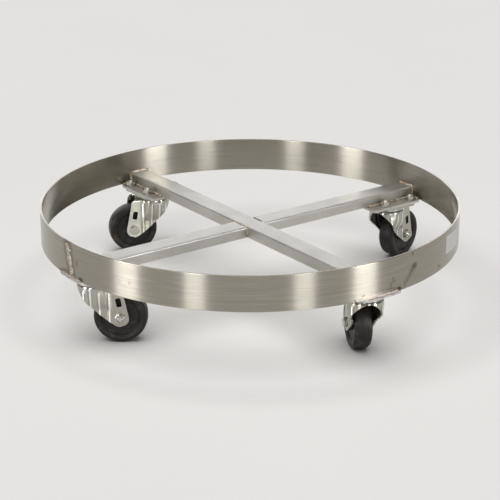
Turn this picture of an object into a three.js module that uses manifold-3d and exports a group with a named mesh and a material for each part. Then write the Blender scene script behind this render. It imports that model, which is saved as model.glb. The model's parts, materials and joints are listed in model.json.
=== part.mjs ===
// Drum dolly: a flat-bar steel ring welded over a cross of channels, on four swivel casters.
// Millimetres, +Z up. The origin is on the floor under the centre of the ring, -Y is the front.
import * as THREE from "three";
import { mergeVertices } from "three/addons/utils/BufferGeometryUtils.js";
import Module from "manifold-3d";

const wasm = await Module();
wasm.setup();

// ---- Driving dimensions -------------------------------------------------------------------
const GAP = 0.3; // clearance kept between pieces that touch

const RING_OUTER_RADIUS = 305;
const RING_THICKNESS = 3;
const RING_HEIGHT = 51;
const RING_BOTTOM = 103;
const RING_SEGMENTS = 72;

const CHANNEL_WIDTH = 32;
const CHANNEL_HEIGHT = 16;
const CHANNEL_THICKNESS = 3;
const CROSS_ANGLE = 36; // degrees from the front towards +X, of the front right arm

const PAD_WIDTH = 70;
const PAD_THICKNESS = 4;
const PAD_INNER_REACH = 210;
const PAD_CORNER = 8;
const PAD_PIN_HOLE_RADIUS = 12;

const SWIVEL_RADIUS = 264; // from the ring's centre to a caster's swivel axis
const PLATE_WIDTH = 66;
const PLATE_LENGTH = 66;
const PLATE_THICKNESS = 3;
const PLATE_CORNER = 7;
const BOLT_SPACING = 50;

const BOLT_RADIUS = 4;
const BOLT_HOLE_RADIUS = 4.6;
const BOLT_HEAD_RADIUS = 7.5;
const BOLT_HEAD_HEIGHT = 2.6;
const BOLT_NUT_HEIGHT = 6.5;
const BOLT_END = 2; // thread left past the nut
const HEX_ACROSS_FLATS = 12.7;

const WHEEL_RADIUS = 38.1;
const WHEEL_TREAD = 25.5;
const WHEEL_SHOULDER = 3.5;
const WHEEL_HUB_LENGTH = 28;
const WHEEL_HUB_RADIUS = 12;
const WHEEL_WEB_THICKNESS = 19;
const WHEEL_RIM_INNER_RADIUS = 29;
const WHEEL_SEGMENTS = 28;

const SWIVEL_LEAD = 33.5; // horizontal distance from the swivel axis to the axle
const FORK_INNER_WIDTH = 29;
const FORK_THICKNESS = 2.5;
const FORK_HOOD_HEIGHT = 86; // underside of the crown above the floor
const FORK_FLARE_BOTTOM = 52; // the legs spread out from here ...
const FORK_FLARE_TOP = 70; // ... up to the crown's width at about this height
const FORK_END_RADIUS = 12.5;
const FORK_FRONT_SKIRT = 6; // how far the crown's front edge hangs below the hood's underside
const FORK_FRONT_BULGE = { lead: -10, height: 52 }; // the front edge curves towards this point
const FORK_REAR_TOP = { across: 4.5, height: 78 }; // upper rear corner, from the axle
const FORK_REAR_CURVE = { lean: 1.5, length: 10 };
const FORK_SLOT = { width: 7.5, height: 13, across: -1.5, above: 24, tilt: -10 };
const CROWN_RADIUS = 27;

const RACE_RADIUS = 27;
const RACE_WALL = 1.6;
const RACE_HOLE_RADIUS = 12;
const BALL_RADIUS = 2.2;
const BALL_PITCH_RADIUS = 19;
const BALL_COUNT = 10;
const CAGE_WIDTH = 5.2;
const CAGE_THICKNESS = 1.4;

const PIN_RADIUS = 5.7;
const PIN_HEAD_RADIUS = 9;
const PIN_HEAD_HEIGHT = 3;
const PIN_FOOT_HEIGHT = 6;
const PIN_CLEARANCE = 0.5;
const PIN_CHAMFER = 1;

const AXLE_RADIUS = 3.95;
const AXLE_HEAD_HEIGHT = 3.6;
const AXLE_NUT_HEIGHT = 4.5;
const AXLE_END = 1; // thread left past the nut
const SLEEVE_RADIUS = 6.2;

// Each caster: where its arm of the cross points, and where its wheel trails at rest,
// both in degrees from the front (-Y) towards +X.
const CASTERS = [
  { name: "front_left", arm: CROSS_ANGLE - 90, trail: 89 },
  { name: "front_right", arm: CROSS_ANGLE, trail: 190 },
  { name: "rear_right", arm: CROSS_ANGLE + 90, trail: 141 },
  { name: "rear_left", arm: CROSS_ANGLE + 180, trail: 285 },
];

// Heights that follow from the driving dimensions.
const PAD_TOP = RING_BOTTOM - GAP;
const PAD_BOTTOM = PAD_TOP - PAD_THICKNESS;
const PLATE_TOP = PAD_BOTTOM - GAP;
const PLATE_BOTTOM = PLATE_TOP - PLATE_THICKNESS;
const CROWN_TOP = FORK_HOOD_HEIGHT + FORK_THICKNESS;
const FORK_OUTER_WIDTH = FORK_INNER_WIDTH + 2 * FORK_THICKNESS;

// ---- Materials ----------------------------------------------------------------------------
const metal = (color, roughness, metalness = 1) =>
  new THREE.MeshStandardMaterial({ color, roughness, metalness });
const STAINLESS = metal(0x9b9689, 0.35);
const ZINC = metal(0xb9b7a6, 0.3);
const STEEL = metal(0x8e8e8a, 0.4);
const BLACK_RUBBER = metal(0x272422, 0.6, 0);

// ---- Helpers ------------------------------------------------------------------------------
const radians = THREE.MathUtils.degToRad;

// A closed geometry as a solid that can be joined and cut.
function solid(geometry) {
  const bare = new THREE.BufferGeometry().setAttribute(
    "position",
    (geometry.index ? geometry.toNonIndexed() : geometry).getAttribute("position"),
  );
  const merged = mergeVertices(bare, 1e-4);
  return new wasm.Manifold(
    new wasm.Mesh({
      numProp: 3,
      vertProperties: merged.attributes.position.array,
      triVerts: new Uint32Array(merged.index.array),
    }),
  );
}

// The solid's surface as a geometry.
function geometryOf(body) {
  const mesh = body.getMesh();
  return new THREE.BufferGeometry()
    .setAttribute("position", new THREE.BufferAttribute(mesh.vertProperties, 3))
    .setIndex(new THREE.BufferAttribute(mesh.triVerts, 1));
}

const join = (first, ...rest) => rest.reduce((sum, body) => sum.add(body), first);
const cut = (first, ...rest) => rest.reduce((left, body) => left.subtract(body), first);

function mesh(name, geometry, material) {
  const piece = new THREE.Mesh(geometry, material);
  piece.name = name;
  return piece;
}

// A flat outline, extruded upwards from z = bottom to z = top.
function prism(shape, bottom, top, curveSegments = 8) {
  const geometry = new THREE.ExtrudeGeometry(shape, {
    depth: top - bottom,
    bevelEnabled: false,
    curveSegments,
  });
  return geometry.translate(0, 0, bottom);
}

// A round piece about Z, from its half outline as [radius, height] points, counter-clockwise
// when seen with the radius to the right. The outline starts and ends on the axis, or closes.
function turned(points, segments) {
  const outline = points.map(([radius, height]) => new THREE.Vector2(radius, height));
  if (points[0][0] > 0) outline.push(outline[0].clone());
  return new THREE.LatheGeometry(outline, segments).rotateX(Math.PI / 2);
}

function cylinder(radius, bottom, top, segments = 16) {
  return turned([[0, bottom], [radius, bottom], [radius, top], [0, top]], segments);
}

const hexagon = (bottom, top) =>
  cylinder(HEX_ACROSS_FLATS / Math.sqrt(3), bottom, top, 6);

function roundHole(shape, x, y, radius) {
  shape.holes.push(new THREE.Path().absarc(x, y, radius, 0, 2 * Math.PI, true));
}

// Calls back with the four bolt places of a caster plate, in the plate's own frame.
function eachBolt(use) {
  for (const x of [-1, 1])
    for (const y of [-1, 1]) use((x * BOLT_SPACING) / 2, (y * BOLT_SPACING) / 2);
}

// ---- Ring and cross -----------------------------------------------------------------------
function ringBand() {
  const inner = RING_OUTER_RADIUS - RING_THICKNESS;
  const top = RING_BOTTOM + RING_HEIGHT;
  const section = [
    [inner, RING_BOTTOM],
    [RING_OUTER_RADIUS, RING_BOTTOM],
    [RING_OUTER_RADIUS, top],
    [inner, top],
  ];
  return turned(section, RING_SEGMENTS);
}

// A down-turned channel along Y, from y = start to y = end, standing on the ring's bottom level.
function channel(start, end) {
  const half = CHANNEL_WIDTH / 2;
  const inside = half - CHANNEL_THICKNESS;
  const web = CHANNEL_HEIGHT - CHANNEL_THICKNESS;
  const section = new THREE.Shape([
    new THREE.Vector2(-half, 0),
    new THREE.Vector2(-inside, 0),
    new THREE.Vector2(-inside, web),
    new THREE.Vector2(inside, web),
    new THREE.Vector2(inside, 0),
    new THREE.Vector2(half, 0),
    new THREE.Vector2(half, CHANNEL_HEIGHT),
    new THREE.Vector2(-half, CHANNEL_HEIGHT),
  ]);
  return prism(section, start, end)
    .rotateX(Math.PI / 2)
    .rotateZ(Math.PI)
    .translate(0, 0, RING_BOTTOM);
}

// How far a channel reaches from the centre before its corners meet the ring.
function channelReach() {
  const facetDepth = 1 - Math.cos(Math.PI / RING_SEGMENTS);
  const inner = (RING_OUTER_RADIUS - RING_THICKNESS) * (1 - facetDepth) - GAP;
  return Math.sqrt(inner ** 2 - (CHANNEL_WIDTH / 2) ** 2);
}

function crossMembers() {
  const reach = channelReach();
  const butt = CHANNEL_WIDTH / 2 + GAP;
  const cross = new THREE.Group();
  cross.rotation.z = radians(CROSS_ANGLE);
  const long = mesh("cross_member_long", channel(-reach, reach), STAINLESS);
  const left = mesh("cross_member_left", channel(butt, reach), STAINLESS);
  left.rotation.z = radians(90);
  const right = mesh("cross_member_right", channel(butt, reach), STAINLESS);
  right.rotation.z = radians(-90);
  cross.add(long, left, right);
  return cross;
}

// ---- Caster, in a frame at its swivel axis, with -Y pointing out along the arm -------------
// The plate welded under a channel's end. Its outer edge follows the ring.
function padPlate() {
  const half = PAD_WIDTH / 2;
  const edge = RING_OUTER_RADIUS * Math.cos(Math.PI / RING_SEGMENTS);
  const lip = half - PAD_CORNER;
  const lipAngle = Math.asin(lip / edge);
  const cornerReach = Math.sqrt(edge ** 2 - lip ** 2) - PAD_CORNER;
  const shape = new THREE.Shape();
  shape.moveTo(-half, SWIVEL_RADIUS - PAD_INNER_REACH);
  shape.lineTo(-half, SWIVEL_RADIUS - cornerReach);
  shape.absarc(0, SWIVEL_RADIUS, edge, -Math.PI / 2 - lipAngle, -Math.PI / 2 + lipAngle, false);
  shape.lineTo(half, SWIVEL_RADIUS - cornerReach);
  shape.lineTo(half, SWIVEL_RADIUS - PAD_INNER_REACH);
  shape.closePath();
  roundHole(shape, 0, 0, PAD_PIN_HOLE_RADIUS);
  eachBolt((x, y) => roundHole(shape, x, y, BOLT_HOLE_RADIUS));
  return prism(shape, PAD_BOTTOM, PAD_TOP, 4);
}

function topPlate() {
  const halfWidth = PLATE_WIDTH / 2;
  const halfLength = PLATE_LENGTH / 2;
  const across = halfWidth - PLATE_CORNER;
  const along = halfLength - PLATE_CORNER;
  const shape = new THREE.Shape([
    new THREE.Vector2(-across, -halfLength),
    new THREE.Vector2(across, -halfLength),
    new THREE.Vector2(halfWidth, -along),
    new THREE.Vector2(halfWidth, along),
    new THREE.Vector2(across, halfLength),
    new THREE.Vector2(-across, halfLength),
    new THREE.Vector2(-halfWidth, along),
    new THREE.Vector2(-halfWidth, -along),
  ]);
  roundHole(shape, 0, 0, PIN_RADIUS + PIN_CLEARANCE);
  eachBolt((x, y) => roundHole(shape, x, y, BOLT_HOLE_RADIUS));
  return prism(shape, PLATE_BOTTOM, PLATE_TOP, 4);
}

// Bolt through top plate and pad: round head below, nut above.
function plateBolt() {
  const headTop = PLATE_BOTTOM - GAP;
  const headBottom = headTop - BOLT_HEAD_HEIGHT;
  const nutTop = PAD_TOP + GAP + BOLT_NUT_HEIGHT;
  const head = cylinder(BOLT_HEAD_RADIUS, headBottom, headTop, 12);
  const nut = hexagon(PAD_TOP + GAP, nutTop);
  const shank = cylinder(BOLT_RADIUS, (headBottom + headTop) / 2, nutTop + BOLT_END, 8);
  return geometryOf(join(solid(shank), solid(head), solid(nut)));
}

// The pressed cup under the top plate that the balls run in.
function raceRing() {
  const top = PLATE_BOTTOM - GAP;
  const web = top - RACE_WALL;
  const skirt = CROWN_TOP + 2 * GAP;
  const section = [
    [RACE_RADIUS - RACE_WALL, skirt],
    [RACE_RADIUS, skirt],
    [RACE_RADIUS, top],
    [RACE_HOLE_RADIUS, top],
    [RACE_HOLE_RADIUS, web],
    [RACE_RADIUS - RACE_WALL, web],
  ];
  return turned(section, 20);
}

// Balls held in a flat cage.
function ballRing() {
  const height = CROWN_TOP + GAP + BALL_RADIUS;
  const halfWidth = CAGE_WIDTH / 2;
  const halfHeight = CAGE_THICKNESS / 2;
  const section = [
    [BALL_PITCH_RADIUS - halfWidth, height - halfHeight],
    [BALL_PITCH_RADIUS + halfWidth, height - halfHeight],
    [BALL_PITCH_RADIUS + halfWidth, height + halfHeight],
    [BALL_PITCH_RADIUS - halfWidth, height + halfHeight],
  ];
  let body = solid(turned(section, 2 * BALL_COUNT));
  for (let i = 0; i < BALL_COUNT; i++) {
    const ball = new THREE.IcosahedronGeometry(BALL_RADIUS, 0)
      .translate(BALL_PITCH_RADIUS, 0, height)
      .rotateZ((2 * Math.PI * i) / BALL_COUNT);
    body = body.add(solid(ball));
  }
  return geometryOf(body);
}

function kingpin() {
  const foot = FORK_HOOD_HEIGHT - GAP;
  const head = PLATE_TOP + GAP;
  return turned(
    [
      [0, foot - PIN_FOOT_HEIGHT],
      [PIN_HEAD_RADIUS - PIN_CHAMFER, foot - PIN_FOOT_HEIGHT],
      [PIN_HEAD_RADIUS, foot - PIN_FOOT_HEIGHT + PIN_CHAMFER],
      [PIN_HEAD_RADIUS, foot],
      [PIN_RADIUS, foot],
      [PIN_RADIUS, head],
      [PIN_HEAD_RADIUS, head],
      [PIN_HEAD_RADIUS - PIN_CHAMFER, head + PIN_HEAD_HEIGHT],
      [0, head + PIN_HEAD_HEIGHT],
    ],
    12,
  );
}

// ---- Fork and wheel, in a frame at the swivel axis, with the wheel trailing towards +X -----
// A flat outline in the XZ plane, extruded across Y from -half to half.
function crossways(shape, half, curveSegments) {
  return prism(shape, -half, half, curveSegments).rotateX(Math.PI / 2);
}

// The fork seen from its side: crown, sloping front edge, and the rounded end at the axle.
function forkSide() {
  const axle = new THREE.Vector2(SWIVEL_LEAD, WHEEL_RADIUS);
  const front = new THREE.Vector2(-CROWN_RADIUS, FORK_HOOD_HEIGHT - FORK_FRONT_SKIRT);
  const bulge = new THREE.Vector2(FORK_FRONT_BULGE.lead, FORK_FRONT_BULGE.height);
  const rear = new THREE.Vector2(SWIVEL_LEAD + FORK_REAR_TOP.across, FORK_REAR_TOP.height);
  const toBulge = bulge.clone().sub(axle);
  const toRear = rear.clone().sub(axle);
  const frontTangent = toBulge.angle() + Math.acos(FORK_END_RADIUS / toBulge.length());
  const rearTangent = toRear.angle() - Math.acos(FORK_END_RADIUS / toRear.length());
  const touch = new THREE.Vector2(FORK_END_RADIUS, 0)
    .rotateAround(new THREE.Vector2(), frontTangent)
    .add(axle);
  const shape = new THREE.Shape();
  shape.moveTo(-CROWN_RADIUS, CROWN_TOP);
  shape.lineTo(front.x, front.y);
  shape.quadraticCurveTo(bulge.x, bulge.y, touch.x, touch.y);
  shape.absarc(axle.x, axle.y, FORK_END_RADIUS, frontTangent, rearTangent, false);
  shape.lineTo(rear.x, rear.y);
  shape.quadraticCurveTo(
    rear.x - FORK_REAR_CURVE.lean,
    CROWN_TOP,
    rear.x - FORK_REAR_CURVE.length,
    CROWN_TOP,
  );
  shape.closePath();
  return shape;
}

// The fork seen end on: two legs that spread out upwards to the crown's width.
function forkEnd(legHalf, crownHalf, top) {
  const bottom = WHEEL_RADIUS - 2 * FORK_END_RADIUS;
  const shape = new THREE.Shape();
  shape.moveTo(-legHalf, bottom);
  shape.lineTo(legHalf, bottom);
  shape.lineTo(legHalf, FORK_FLARE_BOTTOM);
  shape.quadraticCurveTo(crownHalf, FORK_FLARE_TOP, crownHalf, top);
  shape.lineTo(-crownHalf, top);
  shape.quadraticCurveTo(-crownHalf, FORK_FLARE_TOP, -legHalf, FORK_FLARE_BOTTOM);
  shape.closePath();
  return shape;
}

// The fork seen from above: a round crown with a straight-sided tail from x = start.
function forkPlan(crownRadius, legHalf, start, bottom, top) {
  const reach = SWIVEL_LEAD + 2 * FORK_END_RADIUS;
  const tail = new THREE.BoxGeometry(reach - start, 2 * legHalf, top - bottom)
    .translate((reach + start) / 2, 0, (bottom + top) / 2);
  return join(solid(cylinder(crownRadius, bottom, top, 24)), solid(tail));
}

// An end-on outline run along X through the whole fork.
function lengthways(shape) {
  const reach = SWIVEL_LEAD + 2 * FORK_END_RADIUS;
  return solid(prism(shape, -reach, reach, 4).rotateX(Math.PI / 2).rotateZ(Math.PI / 2));
}

function fork() {
  const outerHalf = FORK_OUTER_WIDTH / 2;
  const innerHalf = FORK_INNER_WIDTH / 2;
  const innerCrown = CROWN_RADIUS - FORK_THICKNESS;
  const sides = solid(crossways(forkSide(), CROWN_RADIUS, 5));
  const outer = sides
    .intersect(lengthways(forkEnd(outerHalf, CROWN_RADIUS, CROWN_TOP)))
    .intersect(forkPlan(CROWN_RADIUS, outerHalf, 0, 0, CROWN_TOP));
  const inner = lengthways(forkEnd(innerHalf, innerCrown, FORK_HOOD_HEIGHT)).intersect(
    forkPlan(innerCrown, innerHalf, -2 * CROWN_RADIUS, 0, FORK_HOOD_HEIGHT),
  );
  const pinHole = solid(
    cylinder(PIN_RADIUS + PIN_CLEARANCE, FORK_FLARE_TOP, CROWN_TOP + GAP, 16),
  );
  const axleHole = solid(
    cylinder(AXLE_RADIUS + GAP, -FORK_OUTER_WIDTH, FORK_OUTER_WIDTH, 12)
      .rotateX(Math.PI / 2)
      .translate(SWIVEL_LEAD, 0, WHEEL_RADIUS),
  );
  const slot = solid(
    new THREE.BoxGeometry(FORK_SLOT.width, 2 * FORK_OUTER_WIDTH, FORK_SLOT.height)
      .rotateY(radians(FORK_SLOT.tilt))
      .translate(SWIVEL_LEAD + FORK_SLOT.across, 0, WHEEL_RADIUS + FORK_SLOT.above),
  );
  return geometryOf(cut(outer, inner, pinHole, axleHole, slot));
}

// The wheel about its own axle: a crowned tread on a web with a hub.
function wheel() {
  const half = WHEEL_TREAD / 2;
  const web = WHEEL_WEB_THICKNESS / 2;
  const hub = WHEEL_HUB_LENGTH / 2;
  const right = [
    [SLEEVE_RADIUS + GAP, hub],
    [WHEEL_HUB_RADIUS, hub],
    [WHEEL_HUB_RADIUS, web],
    [WHEEL_RIM_INNER_RADIUS, web],
    [WHEEL_RADIUS - WHEEL_SHOULDER, half],
    [WHEEL_RADIUS, half - WHEEL_SHOULDER],
  ];
  const left = right.map(([radius, x]) => [radius, -x]);
  return turned([...left, ...right.reverse()], WHEEL_SEGMENTS);
}

function axleSleeve() {
  const half = FORK_INNER_WIDTH / 2 - GAP;
  const bore = AXLE_RADIUS + GAP;
  return turned([[bore, -half], [SLEEVE_RADIUS, -half], [SLEEVE_RADIUS, half], [bore, half]], 16);
}

function axleBolt() {
  const outerHalf = FORK_OUTER_WIDTH / 2;
  const head = hexagon(outerHalf + GAP, outerHalf + GAP + AXLE_HEAD_HEIGHT);
  const end = -outerHalf - GAP - AXLE_NUT_HEIGHT - AXLE_END;
  const shank = cylinder(AXLE_RADIUS, end, outerHalf + AXLE_HEAD_HEIGHT / 2, 12);
  return geometryOf(join(solid(shank), solid(head)));
}

function axleNut() {
  const outerHalf = FORK_OUTER_WIDTH / 2;
  const body = hexagon(-outerHalf - GAP - AXLE_NUT_HEIGHT, -outerHalf - GAP);
  const bore = cylinder(AXLE_RADIUS + GAP, -2 * outerHalf, 0, 12);
  return geometryOf(cut(solid(body), solid(bore)));
}

// ---- Assembly -----------------------------------------------------------------------------
// The parts made once and used in every caster.
const PAD_PLATE = padPlate();
const TOP_PLATE = topPlate();
const RACE_RING = raceRing();
const BALL_RING = ballRing();
const KINGPIN = kingpin();
const PLATE_BOLT = plateBolt();
const FORK = fork();
const WHEEL = wheel();
const AXLE_SLEEVE = axleSleeve();
const AXLE_BOLT = axleBolt();
const AXLE_NUT = axleNut();

function caster({ name, arm, trail }) {
  const base = new THREE.Group();
  base.rotation.z = radians(arm);
  base.position.set(0, -SWIVEL_RADIUS, 0).applyAxisAngle(new THREE.Vector3(0, 0, 1), radians(arm));
  base.add(
    mesh(name + "_pad_plate", PAD_PLATE, STAINLESS),
    mesh(name + "_top_plate", TOP_PLATE, ZINC),
    mesh(name + "_race_ring", RACE_RING, ZINC),
    mesh(name + "_ball_ring", BALL_RING, STEEL),
    mesh(name + "_kingpin", KINGPIN, STEEL),
  );
  let count = 0;
  eachBolt((x, y) => {
    count += 1;
    const bolt = mesh(name + "_plate_bolt_" + count, PLATE_BOLT, ZINC);
    bolt.position.set(x, y, 0);
    base.add(bolt);
  });

  const swivel = new THREE.Group();
  swivel.rotation.z = radians(trail - arm - 90);
  const axle = new THREE.Group();
  axle.position.set(SWIVEL_LEAD, 0, WHEEL_RADIUS);
  axle.rotation.x = -Math.PI / 2;
  axle.add(
    mesh(name + "_wheel", WHEEL, BLACK_RUBBER),
    mesh(name + "_axle_sleeve", AXLE_SLEEVE, STEEL),
    mesh(name + "_axle_bolt", AXLE_BOLT, ZINC),
    mesh(name + "_axle_nut", AXLE_NUT, ZINC),
  );
  swivel.add(mesh(name + "_fork", FORK, ZINC), axle);
  base.add(swivel);
  return base;
}

const group = new THREE.Group();
group.add(mesh("rim_band", ringBand(), STAINLESS), crossMembers());
for (const place of CASTERS) group.add(caster(place));

export default group;
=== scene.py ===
import json
import random
from math import acos, asin, atan2, cos, degrees as to_degrees, hypot, pi, radians, remainder
from math import sin, sqrt, tan

import bmesh
import bpy
import numpy as np
from mathutils import Matrix, Vector


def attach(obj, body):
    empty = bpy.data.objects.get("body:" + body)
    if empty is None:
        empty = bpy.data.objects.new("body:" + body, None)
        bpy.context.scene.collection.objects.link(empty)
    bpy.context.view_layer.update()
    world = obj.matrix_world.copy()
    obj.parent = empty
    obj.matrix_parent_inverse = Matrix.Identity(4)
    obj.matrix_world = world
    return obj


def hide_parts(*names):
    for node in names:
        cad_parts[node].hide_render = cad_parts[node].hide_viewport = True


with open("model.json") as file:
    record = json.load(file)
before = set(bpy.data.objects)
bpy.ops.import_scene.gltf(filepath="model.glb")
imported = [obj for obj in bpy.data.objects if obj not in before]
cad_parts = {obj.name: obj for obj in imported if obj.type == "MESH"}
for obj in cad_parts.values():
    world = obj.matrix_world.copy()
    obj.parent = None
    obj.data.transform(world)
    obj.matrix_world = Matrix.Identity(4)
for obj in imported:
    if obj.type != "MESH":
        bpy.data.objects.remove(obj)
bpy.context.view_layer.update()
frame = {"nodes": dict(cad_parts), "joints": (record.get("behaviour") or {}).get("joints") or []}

# Shapes are worked out in millimetres and turned into metres when a mesh is made.
MM = 0.001
CASTERS = ("front_left", "front_right", "rear_right", "rear_left")
JOINTS = {joint["name"]: joint for joint in frame["joints"]}


# ---- Measures taken from the frame ---------------------------------------------------------
def turned_frame(origin, direction):
    """A frame in mm at origin, whose +X points along direction on plan."""
    yaw = atan2(direction.y, direction.x)
    return Matrix.Translation(origin) @ Matrix.Rotation(yaw, 4, "Z")


def points_of(node, place=Matrix.Identity(4)):
    """The corners of a CAD node, in mm, in the frame given by place."""
    back = place.inverted()
    return np.array([back @ (v.co / MM) for v in frame["nodes"][node].data.vertices])


def caster_places(name):
    """The frames of a caster's fixed base, of its fork and of its wheel."""
    swivel = Vector(JOINTS[name + "_swivel"]["pos_m"]) / MM
    axle = Vector(JOINTS[name + "_wheel_spin"]["pos_m"]) / MM
    foot = Vector((swivel.x, swivel.y, 0))
    return {
        "base": turned_frame(foot, swivel),
        "fork": turned_frame(foot, axle - swivel),
        "wheel": turned_frame(axle, axle - swivel),
    }


PLACES = {name: caster_places(name) for name in CASTERS}
MODEL = CASTERS[0]
SAMPLE = PLACES[MODEL]


def spans(part, place):
    """The least and greatest x, y and z of one of the model caster's CAD nodes, in mm."""
    points = points_of(MODEL + part, SAMPLE[place])
    return zip(points.min(axis=0), points.max(axis=0))


GAP = 0.3  # between one steel part and the next, as in the CAD

ring = points_of("rim_band")
RING_OUTER = np.hypot(ring[:, 0], ring[:, 1]).max()
RING_INNER = np.hypot(ring[:, 0], ring[:, 1]).min()
RING_BOTTOM = ring[:, 2].min()
RING_TOP = ring[:, 2].max()

long_frame = turned_frame(Vector((0, 0, 0)), PLACES["front_right"]["base"].translation)
channel_points = points_of("cross_member_long", long_frame)
CHANNEL_REACH = channel_points[:, 0].max()
CHANNEL_HALF = channel_points[:, 1].max()
CHANNEL_TOP = channel_points[:, 2].max()
CHANNEL_WALL = 3.0

(PAD_INNER, PAD_OUTER), (_, PAD_HALF), (PAD_BOTTOM, PAD_TOP) = spans("_pad_plate", "base")
PAD_CORNER = 8.0
SWIVEL_RADIUS = SAMPLE["base"].translation.length

_, (_, PLATE_HALF), (PLATE_BOTTOM, PLATE_TOP) = spans("_top_plate", "base")
PLATE_CORNER = 7.0

(_, RACE_RADIUS), _, (RACE_BOTTOM, RACE_TOP) = spans("_race_ring", "base")
RACE_WALL = 1.6
RACE_HOLE = 12.0

balls = points_of(MODEL + "_ball_ring", SAMPLE["fork"])
BALL_RADIUS = (balls[:, 2].max() - balls[:, 2].min()) / 2
BALL_HEIGHT = (balls[:, 2].max() + balls[:, 2].min()) / 2
BALL_PITCH = np.hypot(balls[:, 0], balls[:, 1]).max() - BALL_RADIUS - 0.4
BALL_COUNT = 10

(_, PIN_HEAD), _, (PIN_BOTTOM, PIN_TOP) = spans("_kingpin", "base")
pin = points_of(MODEL + "_kingpin", SAMPLE["base"])
pin_radial = np.hypot(pin[:, 0], pin[:, 1])
PIN_RADIUS = pin_radial[pin_radial > 1].min()
PIN_CLEARANCE = 0.5

(bolt_left, bolt_right), _, (BOLT_BOTTOM, BOLT_TOP) = spans("_plate_bolt_1", "base")
BOLT_HEAD_RADIUS = (bolt_right - bolt_left) / 2
BOLT_RADIUS = 4.0
NUT_FLATS = 12.7
NUT_HEIGHT = 6.5
WASHER_RADIUS = 8.0
WASHER_THICKNESS = 1.2
WASHER_SLACK = 0.2

fork = points_of(MODEL + "_fork", SAMPLE["fork"])
CROWN_RADIUS = -fork[:, 0].min()
CROWN_TOP = fork[:, 2].max()
LEAD = (SAMPLE["fork"].inverted() @ SAMPLE["wheel"].translation).x
AXLE_HEIGHT = SAMPLE["wheel"].translation.z
FORK_END_RADIUS = AXLE_HEIGHT - fork[:, 2].min()
FORK_FRONT_BOTTOM = fork[fork[:, 0] < 0.1 - CROWN_RADIUS][:, 2].min()
leg = np.abs(fork[fork[:, 2] < AXLE_HEIGHT][:, 1])
LEG_OUTER = leg.max()
SHEET = LEG_OUTER - leg.min()
FORK_REAR_TOP = (LEAD + 4.5, 78.0)
FORK_REAR_ROOF = 10.0
FORK_BULGE = (-10.0, 52.0)
FORK_RIDGES = (-16.5, -6.0, 6.0, 19.5)
FLARE = ((LEG_OUTER, 52.0), (CROWN_RADIUS, 70.0), (CROWN_RADIUS, CROWN_TOP))
SLOT = {"across": LEAD - 1.5, "height": AXLE_HEIGHT + 24, "width": 7.5, "length": 13, "tilt": 10}

wheel_points = points_of(MODEL + "_wheel", SAMPLE["wheel"])
wheel_radial = np.hypot(wheel_points[:, 0], wheel_points[:, 2])
WHEEL_RADIUS = wheel_radial.max()
WHEEL_BORE = wheel_radial.min()
HUB_HALF = np.abs(wheel_points[:, 1]).max()
TREAD_HALF = np.abs(wheel_points[wheel_radial > 0.85 * WHEEL_RADIUS][:, 1]).max()
WEB_HALF = 0.75 * TREAD_HALF
HUB_RADIUS = 12.0

(_, SLEEVE_RADIUS), (_, SLEEVE_HALF), _ = spans("_axle_sleeve", "wheel")
sleeve = points_of(MODEL + "_axle_sleeve", SAMPLE["wheel"])
AXLE_RADIUS = np.hypot(sleeve[:, 0], sleeve[:, 2]).min() - GAP
AXLE_FLANGE = 7.1
AXLE_WASHER = 1.0

SEAM_ANGLE = -53.0  # of the foot of the band's butt weld, in degrees from the front towards +X
SEAM_LEAN = 2.0  # how far round its top is from its foot, in degrees
LABEL = {"start": 63.0, "end": 74.0, "bottom": 15.0, "top": 42.0, "drop": 5.0, "thickness": 0.15}


# ---- Mesh helpers --------------------------------------------------------------------------
def filleted(corners, closed=True, steps=4):
    """A flat outline with each corner (x, y, radius) rounded."""
    outline = []
    count = len(corners)
    for i, (x, y, radius) in enumerate(corners):
        corner = Vector((x, y))
        if radius <= 0 or (not closed and i in (0, count - 1)):
            outline.append((x, y))
            continue
        before = Vector(corners[i - 1][:2]) - corner
        after = Vector(corners[(i + 1) % count][:2]) - corner
        half = before.angle(after) / 2
        reach = min(radius / tan(half), 0.49 * before.length, 0.49 * after.length)
        fitted = reach * tan(half)
        middle = (before.normalized() + after.normalized()).normalized()
        centre = corner + middle * (fitted / sin(half))
        start = corner + before.normalized() * reach - centre
        end = corner + after.normalized() * reach - centre
        first = atan2(start.y, start.x)
        sweep = remainder(atan2(end.y, end.x) - first, 2 * pi)
        for k in range(steps + 1):
            outline.append(polar(fitted, first + sweep * k / steps, *centre))
    return outline


def rounded_box(x0, x1, y0, y1, near, far=None, steps=2):
    """A rectangle's outline, its corners rounded by near at x0 and by far at x1."""
    far = near if far is None else far
    return filleted([(x0, y0, near), (x1, y0, far), (x1, y1, far), (x0, y1, near)], steps=steps)


def polar(radius, angle, x=0.0, y=0.0):
    """A point at a radius and an angle from (x, y)."""
    return (x + radius * cos(angle), y + radius * sin(angle))


def around(count):
    """Angles that share out a full turn evenly."""
    return [2 * pi * k / count for k in range(count)]


def circle(radius, count=40):
    return [polar(radius, angle) for angle in around(count)]


def grid_faces(rows, columns, close_rows=False, close_columns=False):
    faces = []
    for r in range(rows if close_rows else rows - 1):
        for c in range(columns if close_columns else columns - 1):
            r2, c2 = (r + 1) % rows, (c + 1) % columns
            faces.append((r * columns + c, r * columns + c2, r2 * columns + c2, r2 * columns + c))
    return faces


def tidy(mesh, sharp=35):
    """Welds doubled points, faces everything outwards and keeps only the sharp edges hard."""
    work = bmesh.new()
    work.from_mesh(mesh)
    bmesh.ops.remove_doubles(work, verts=work.verts, dist=0.002 * MM)
    bmesh.ops.dissolve_degenerate(work, edges=work.edges, dist=0.001 * MM)
    bmesh.ops.recalc_face_normals(work, faces=work.faces)
    for face in work.faces:
        face.smooth = True
    work.to_mesh(mesh)
    work.free()
    mesh.set_sharp_from_angle(angle=radians(sharp))
    return mesh


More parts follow.
